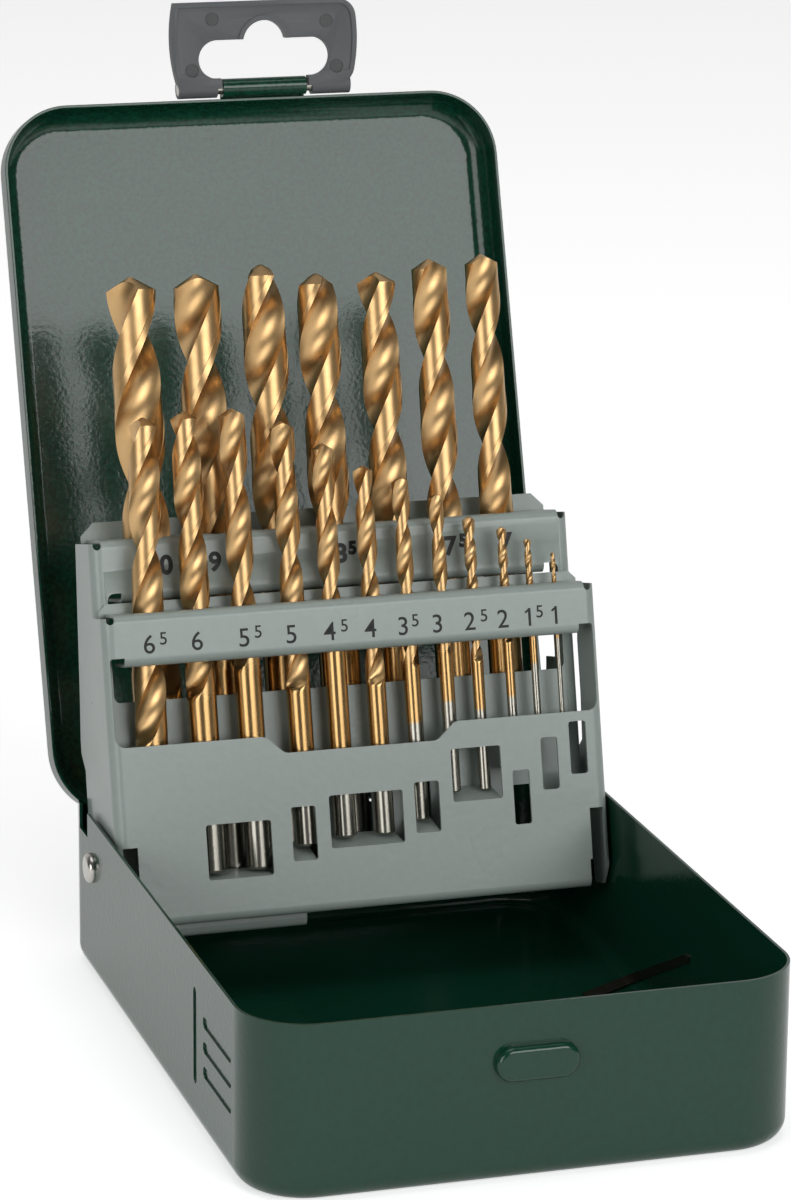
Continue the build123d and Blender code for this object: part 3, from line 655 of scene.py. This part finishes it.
class CASE_OT_drills(bpy.types.Operator):
    """Grinds the nineteen twist drills"""

    bl_idname = "drill_case.drills"
    bl_label = "Drills"

    # pulls of the flute's curve, over the radius, at the lip and at the heel
    LIP_PULL = Vector((0.36, 0.30))
    HEEL_PULL = Vector((-0.40, 0.33))
    # the margin's step up from the land takes this much turn
    MARGIN_RISE = 0.01
    # chamfer of the shank's end, over the diameter
    CHAMFER = 0.1
    # length over which the coating fades out
    COATING_EDGE = 0.8 * MM
    # each ring of the point is this share of the one below it
    POINT_STEPS = (0.62, 0.55, 0.45)

    def section(self, shape):
        """Points of a section of radius 1: land, margin and flute, and the same half a turn on."""
        half = shape.land / 2
        step = half - shape.margin
        side = []
        for i in range(shape.land_points):
            angle = -half + (step + half) * i / (shape.land_points - 1)
            side.append(Vector((math.cos(angle), math.sin(angle))) * shape.relief)
        rise = step + self.MARGIN_RISE
        for i in range(shape.margin_points):
            angle = rise + (half - rise) * i / (shape.margin_points - 1)
            side.append(Vector((math.cos(angle), math.sin(angle))))
        # the flute is a cubic curve from the lip to the other land's heel
        lip = side[-1]
        heel = -side[0]
        for i in range(1, shape.flute_points + 1):
            t = i / (shape.flute_points + 1)
            side.append(
                (1 - t) ** 3 * lip + 3 * t * (1 - t) ** 2 * self.LIP_PULL
                + 3 * t * t * (1 - t) * self.HEEL_PULL + t ** 3 * heel
            )
        return side + [-point for point in side]

    def select_ring(self, obj, first, count):
        """Selects one ring of points and enters edit mode."""
        bpy.ops.object.mode_set(mode="EDIT")
        bpy.ops.mesh.select_mode(type="VERT")
        bpy.ops.mesh.select_all(action="DESELECT")
        bpy.ops.object.mode_set(mode="OBJECT")
        for vert in obj.data.vertices[first:first + count]:
            vert.select = True
        bpy.ops.object.mode_set(mode="EDIT")

    def extrude(self, move, scale=(1, 1, 1), centre=(0, 0, 0)):
        """Extrudes the selected ring, then moves it up and scales it about a centre."""
        bpy.ops.mesh.extrude_region_move(TRANSFORM_OT_translate={"value": (0, 0, move)})
        bpy.ops.transform.resize(value=scale, center_override=centre)

    def drill(self, shape, diameter, length, fluted, bare, waist, helix):
        """One drill standing on z = 0, flutes swept up a helix, shank and point extruded.

        Its sizes are in millimetres and its helix in degrees, as in the tables."""
        radius = diameter / 2 * MM
        top = length * MM
        bare_top = bare * MM
        start = (length - fluted) * MM
        twist = math.tan(math.radians(helix)) / radius
        slope = math.tan(POINT_HALF_ANGLE)
        section = self.section(shape)
        count = len(section)
        rings = math.ceil(fluted * MM * twist / shape.ring_step)
        phase = FACING - twist * (fluted - waist) * MM
        bpy.ops.object.select_all(action="DESELECT")
        bpy.ops.mesh.primitive_circle_add(vertices=count, radius=radius, location=(0, 0, 0))
        obj = bpy.context.object
        for vert, point in zip(obj.data.vertices, section):
            vert.co = (point.x * radius, point.y * radius, start)
        apply_modifier(
            obj, "SCREW", angle=fluted * MM * twist, screw_offset=fluted * MM, steps=rings,
            render_steps=rings, use_merge_vertices=False, use_smooth_shade=False,
        )
        # every column ends on the point's cone, and the flutes come up to the shank
        run_out = shape.run_out * diameter * MM
        for index, vert in enumerate(obj.data.vertices):
            point = section[index % count]
            share = point.length
            end = top - share * radius / slope
            height = start + (end - start) * (index // count) / rings
            short = max(1 - (height - start) / run_out, 0)
            size = radius * min(share + short * short, 1)
            angle = math.atan2(point.y, point.x) + twist * (height - start) + phase
            vert.co = (size * math.cos(angle), size * math.sin(angle), height)
        last = len(obj.data.vertices) - count
        self.select_ring(obj, last, count)
        apex = (0, 0, top)
        for taper in self.POINT_STEPS:
            self.extrude(0, (taper, taper, taper), apex)
        bpy.ops.mesh.extrude_region_move(TRANSFORM_OT_translate={"value": (0, 0, 0)})
        bpy.ops.mesh.merge(type="CENTER")
        bpy.ops.object.mode_set(mode="OBJECT")
        self.select_ring(obj, 0, count)
        # down the shank: a ring on each side of the coating's edge, and the chamfered end
        chamfer = self.CHAMFER * diameter * MM
        ease = 1 - 2 * self.CHAMFER
        edge = min(bare_top + self.COATING_EDGE, start - self.COATING_EDGE)
        self.extrude(edge - start)
        self.extrude(-self.COATING_EDGE)
        self.extrude(chamfer + self.COATING_EDGE - edge)
        self.extrude(-chamfer, (ease, ease, 1))
        bpy.ops.mesh.edge_face_add()
        bpy.ops.mesh.select_all(action="SELECT")
        bpy.ops.mesh.normals_make_consistent(inside=False)
        bpy.ops.object.mode_set(mode="OBJECT")
        self.mark(obj, twist, start, run_out, bare_top)
        return obj

    def mark(self, obj, twist, start, run_out, bare_top):
        """Marks the coating and the shank, and lays out how the grinding runs round the drill."""
        data = obj.data
        coating = data.attributes.new("coating", "FLOAT", "POINT")
        for vert, value in zip(data.vertices, coating.data):
            value.value = min(max((vert.co.z - bare_top) / self.COATING_EDGE, 0.0), 1.0)
        # the shank's mask: where the coating is coloured darker as painted shade, and polished
        shank = data.attributes.new("shank", "FLOAT", "POINT")
        for vert, value in zip(data.vertices, shank.data):
            value.value = 1.0 - min(max((vert.co.z - start) / run_out, 0.0), 1.0)
        # a face's corners are laid out next to its middle, so that none spans the seam
        run = data.uv_layers.new(name="run")
        for face in data.polygons:
            middle = face.center
            base = math.atan2(middle.y, middle.x)
            for index in face.loop_indices:
                place = data.vertices[data.loops[index].vertex_index].co
                angle = math.atan2(place.y, place.x)
                angle = base + (angle - base + math.pi) % (2 * math.pi) - math.pi
                turned = twist * max(place.z - start, 0)
                run.data[index].uv = ((angle - turned) / (2 * math.pi), place.z / MM)

    def execute(self, context):
        shape = context.scene.drill_shape
        for row, forward in ((FRONT_DRILLS, FRONT_ROW), (REAR_DRILLS, REAR_ROW)):
            for diameter, (across, seat, *sizes) in row.items():
                node = "drill_" + str(diameter).replace(".", "_")
                obj = self.drill(shape, diameter, *sizes)
                obj.name = "twist_" + node
                place = rack_matrix(across * MM, forward, seat * MM)
                if diameter == STRAY_DRILL:
                    over = STRAY_HEIGHT - seat * MM
                    lean = Matrix.Rotation(STRAY_LEAN, 4, "Y")
                    up = Matrix.Translation((0, 0, over))
                    place = place @ up @ lean @ up.inverted()
                obj.data.transform(place)
                select_only(obj)
                bpy.ops.object.shade_smooth_by_angle(angle=DRILL_CRISP_ANGLE)
                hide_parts(node)
                give(obj, finished("nitride coated high-speed steel"), node)
        return {"FINISHED"}


class CASE_OT_hang_tab(bpy.types.Operator):
    """Makes the moulded hang tab and its pin marks"""

    bl_idname = "drill_case.hang_tab"
    bl_label = "Hang tab"

    # the tab's pin, how far the tab leans back at rest, and its inner face in front of the pin
    PIN = Vector(JOINTS["hang_tab_hinge"]["pos_m"])
    LEAN = math.radians(5.27)
    FACE = 1.6 * MM
    EDGE = 0.25 * MM
    # the ejector pins' marks: places across and up from the pin, in millimetres
    MARKS = ((-11.3, 14.6), (13.7, 13.5), (-15.9, 4.0), (15.8, 3.9))
    MARK_RADIUS = 1.45 * MM
    # depth of the well round each mark, its width, and the mark's top and bottom over the depth
    WELL_DEPTH = 0.15 * MM
    WELL_WIDTH = 0.13 * MM
    MARK_TOP = 0.2
    MARK_BOTTOM = 1.5
    # the tool that cuts the well starts this far in front of the face
    CUT_START = -1.0 * MM
    DISC_SIDES = 40

    def disc(self, name, across, up, radius, front, back):
        """Round piece lying on the tab's face, from front to back."""
        bpy.ops.object.select_all(action="DESELECT")
        bpy.ops.mesh.primitive_cylinder_add(
            vertices=self.DISC_SIDES, radius=radius, depth=back - front, location=(0, 0, 0),
        )
        disc = bpy.context.object
        disc.name = name
        lean = Matrix.Translation(self.PIN) @ Matrix.Rotation(-self.LEAN, 4, "X")
        flat = Matrix.Translation((across * MM, (front + back) / 2 - self.FACE, up * MM))
        disc.data.transform(lean @ flat @ Matrix.Rotation(math.pi / 2, 4, "X"))
        return disc

    def execute(self, context):
        tab = pressed_copy("hang_tab", "moulded_tab", self.EDGE)
        plastic = finished("moulded polyamide")
        rough = finished("rough polyamide")
        for index, (across, up) in enumerate(self.MARKS):
            well = self.disc(
                "well", across, up, self.MARK_RADIUS, self.CUT_START, self.WELL_DEPTH,
            )
            apply_modifier(tab, "BOOLEAN", operation="DIFFERENCE", object=well, solver="EXACT")
            bpy.data.objects.remove(well)
            mark = self.disc(
                f"tab_pin_mark_{index}", across, up, self.MARK_RADIUS - self.WELL_WIDTH,
                self.WELL_DEPTH * self.MARK_TOP, self.WELL_DEPTH * self.MARK_BOTTOM,
            )
            give(mark, rough, "tab")
        give(tab, plastic, "tab")
        return {"FINISHED"}


class CASE_OT_small_metal(bpy.types.Operator):
    """Finishes the pins, rivets and the strip"""

    bl_idname = "drill_case.small_metal"
    bl_label = "Pins, rivets and strip"

    def execute(self, context):
        finishes = {
            "hinge_pin": "bright rivet steel",
            "tab_pin": "bright rivet steel",
            "pivot_rivet_left": "bright rivet steel",
            "pivot_rivet_right": "bright rivet steel",
            "lift_strip": "dark spring steel",
        }
        for node, name in finishes.items():
            data = frame["nodes"][node].data
            data.materials.clear()
            data.materials.append(finished(name))
        return {"FINISHED"}


class CASE_OT_stage(bpy.types.Operator):
    """Sets the floor, the lights and the camera"""

    bl_idname = "drill_case.stage"
    bl_label = "Stage"

    # the camera stands to the front left and looks to the right and down
    CAMERA_PLACE = (-0.250486, -0.798592, 0.321963)
    AZIMUTH = math.radians(17.106)
    ELEVATION = math.radians(15.502)
    ROLL = math.radians(0.4656)
    LENS = 135.916
    SENSOR = 36
    NEAREST = 0.01
    # each softbox: place, what it is turned to, width and height in metres, and watts
    SOFTBOXES = {
        "left softbox": ((-1.45, -1.2, 0.6), (0, 0, 0.08), (1.0, 1.0), 9.5),
        "front softbox": ((0.72, -2.05, 0.98), (0, 0, 0.1), (1.5, 1.1), 22),
        "top softbox": ((-0.1, -0.1, 1.5), (0, 0, 0.05), (1.0, 1.0), 4.2),
    }
    # the floor's own light, as the camera sees it and as glossy pieces reflect it
    FLOOR_SIZE = 12
    FLOOR_GLOW = 0.6
    FLOOR_SHEEN = 0.35
    # the room's light, the backdrop's, and how squarely behind the case it starts and is full
    ROOM = 0.07
    BACKDROP = 0.6
    BACKDROP_START = 0.2
    BACKDROP_FULL = 0.8

    def camera(self, context):
        """Places the camera."""
        bpy.ops.object.camera_add(location=(0, 0, 0))
        camera = context.object
        camera.name = "camera"
        camera.data.lens = self.LENS
        camera.data.sensor_width = self.SENSOR
        camera.data.clip_start = self.NEAREST
        turn = Matrix.Rotation(-self.AZIMUTH, 4, "Z")
        tilt = Matrix.Rotation(math.pi / 2 - self.ELEVATION, 4, "X")
        roll = Matrix.Rotation(self.ROLL, 4, "Z")
        camera.matrix_world = Matrix.Translation(self.CAMERA_PLACE) @ turn @ tilt @ roll
        context.scene.camera = camera

    def softbox(self, name, place, target, size, power):
        """One soft light, turned to its target."""
        bpy.ops.object.light_add(type="AREA", location=place)
        lamp = bpy.context.object
        lamp.name = name
        lamp.data.shape = "RECTANGLE"
        lamp.data.size, lamp.data.size_y = size
        lamp.data.energy = power
        way = Vector(target) - Vector(place)
        lamp.rotation_euler = way.to_track_quat("-Z", "Y").to_euler()

    def floor(self, context):
        """Lays the white paper sweep, which glows enough to look white and keeps the shadow."""
        bpy.ops.object.select_all(action="DESELECT")
        bpy.ops.mesh.primitive_plane_add(size=self.FLOOR_SIZE, location=(0, 0, 0))
        floor = context.object
        floor.name = "floor"
        tree, shader = new_material(
            "white paper sweep", Base_Color=linear("#ffffff"), Roughness=0.9,
            Specular_IOR_Level=0.1,
        )
        path = add_node(tree, "ShaderNodeLightPath")
        sheen = add_node(
            tree, "ShaderNodeMath", settings={"operation": "MULTIPLY"},
            values={1: self.FLOOR_SHEEN}, links={0: path.outputs["Is Glossy Ray"]},
        )
        share = add_node(
            tree, "ShaderNodeMath", settings={"operation": "MULTIPLY_ADD"},
            values={1: self.FLOOR_GLOW},
            links={0: path.outputs["Is Camera Ray"], 2: sheen.outputs["Value"]},
        )
        glow = add_node(
            tree, "ShaderNodeEmission", values={"Color": (1, 1, 1, 1)},
            links={"Strength": share.outputs["Value"]},
        )
        both = add_node(
            tree, "ShaderNodeAddShader",
            links={0: shader.outputs["BSDF"], 1: glow.outputs["Emission"]},
        )
        tree.links.new(both.outputs["Shader"], tree.nodes["Material Output"].inputs["Surface"])
        floor.data.materials.append(finished("white paper sweep"))

    def world(self, context):
        """Surrounds the case with a dim room and a white backdrop, all white to the camera."""
        world = bpy.data.worlds.new("studio")
        world.use_nodes = True
        context.scene.world = world
        tree = world.node_tree
        ground = tree.nodes["Background"]
        ground.inputs["Color"].default_value = (1, 1, 1, 1)
        way = add_node(tree, "ShaderNodeTexCoord")
        split = add_node(tree, "ShaderNodeSeparateXYZ", links={"Vector": way.outputs["Generated"]})
        room = add_node(
            tree, "ShaderNodeMapRange", settings={"interpolation_type": "SMOOTHSTEP"},
            values={
                "From Min": self.BACKDROP_START, "From Max": self.BACKDROP_FULL,
                "To Min": self.ROOM, "To Max": self.BACKDROP,
            },
            links={"Value": split.outputs["Y"]},
        )
        path = add_node(tree, "ShaderNodeLightPath")
        strength = add_node(
            tree, "ShaderNodeMapRange", values={"To Max": 1.0},
            links={"Value": path.outputs["Is Camera Ray"], "To Min": room.outputs["Result"]},
        )
        tree.links.new(strength.outputs["Result"], ground.inputs["Strength"])

    def execute(self, context):
        self.camera(context)
        self.floor(context)
        self.world(context)
        for name, values in self.SOFTBOXES.items():
            self.softbox(name, *values)
        context.scene.view_settings.view_transform = "Standard"
        return {"FINISHED"}


class CASE_PT_sidebar(bpy.types.Panel):
    """Lists the case's finishes and steps"""

    bl_idname = "CASE_PT_sidebar"
    bl_label = "Drill case"
    bl_space_type = "VIEW_3D"
    bl_region_type = "UI"
    bl_category = "Drill case"

    def draw(self, context):
        column = self.layout.column()
        for group in (context.scene.case_finish, context.scene.drill_shape):
            for name in group.__annotations__:
                column.prop(group, name)
        for operator in OPERATORS:
            column.operator(operator.bl_idname)


OPERATORS = (
    CASE_OT_finishes,
    CASE_OT_tray,
    CASE_OT_lid,
    CASE_OT_racks,
    CASE_OT_sizes,
    CASE_OT_drills,
    CASE_OT_hang_tab,
    CASE_OT_small_metal,
    CASE_OT_stage,
)
CLASSES = (CaseFinish, DrillShape, *OPERATORS, CASE_PT_sidebar)


def register():
    """Adds the classes, and their settings on every scene."""
    for cls in CLASSES:
        bpy.utils.register_class(cls)
    bpy.types.Scene.case_finish = bpy.props.PointerProperty(type=CaseFinish)
    bpy.types.Scene.drill_shape = bpy.props.PointerProperty(type=DrillShape)


def unregister():
    """Takes the settings and the classes away again."""
    del bpy.types.Scene.drill_shape
    del bpy.types.Scene.case_finish
    for cls in reversed(CLASSES):
        bpy.utils.unregister_class(cls)


def main():
    """Dresses the case."""
    register()
    bpy.ops.drill_case.finishes()
    bpy.ops.drill_case.tray()
    bpy.ops.drill_case.lid()
    bpy.ops.drill_case.racks()
    bpy.ops.drill_case.sizes()
    bpy.ops.drill_case.drills()
    bpy.ops.drill_case.hang_tab()
    bpy.ops.drill_case.small_metal()
    bpy.ops.drill_case.stage()


if __name__ == "__main__":
    main()
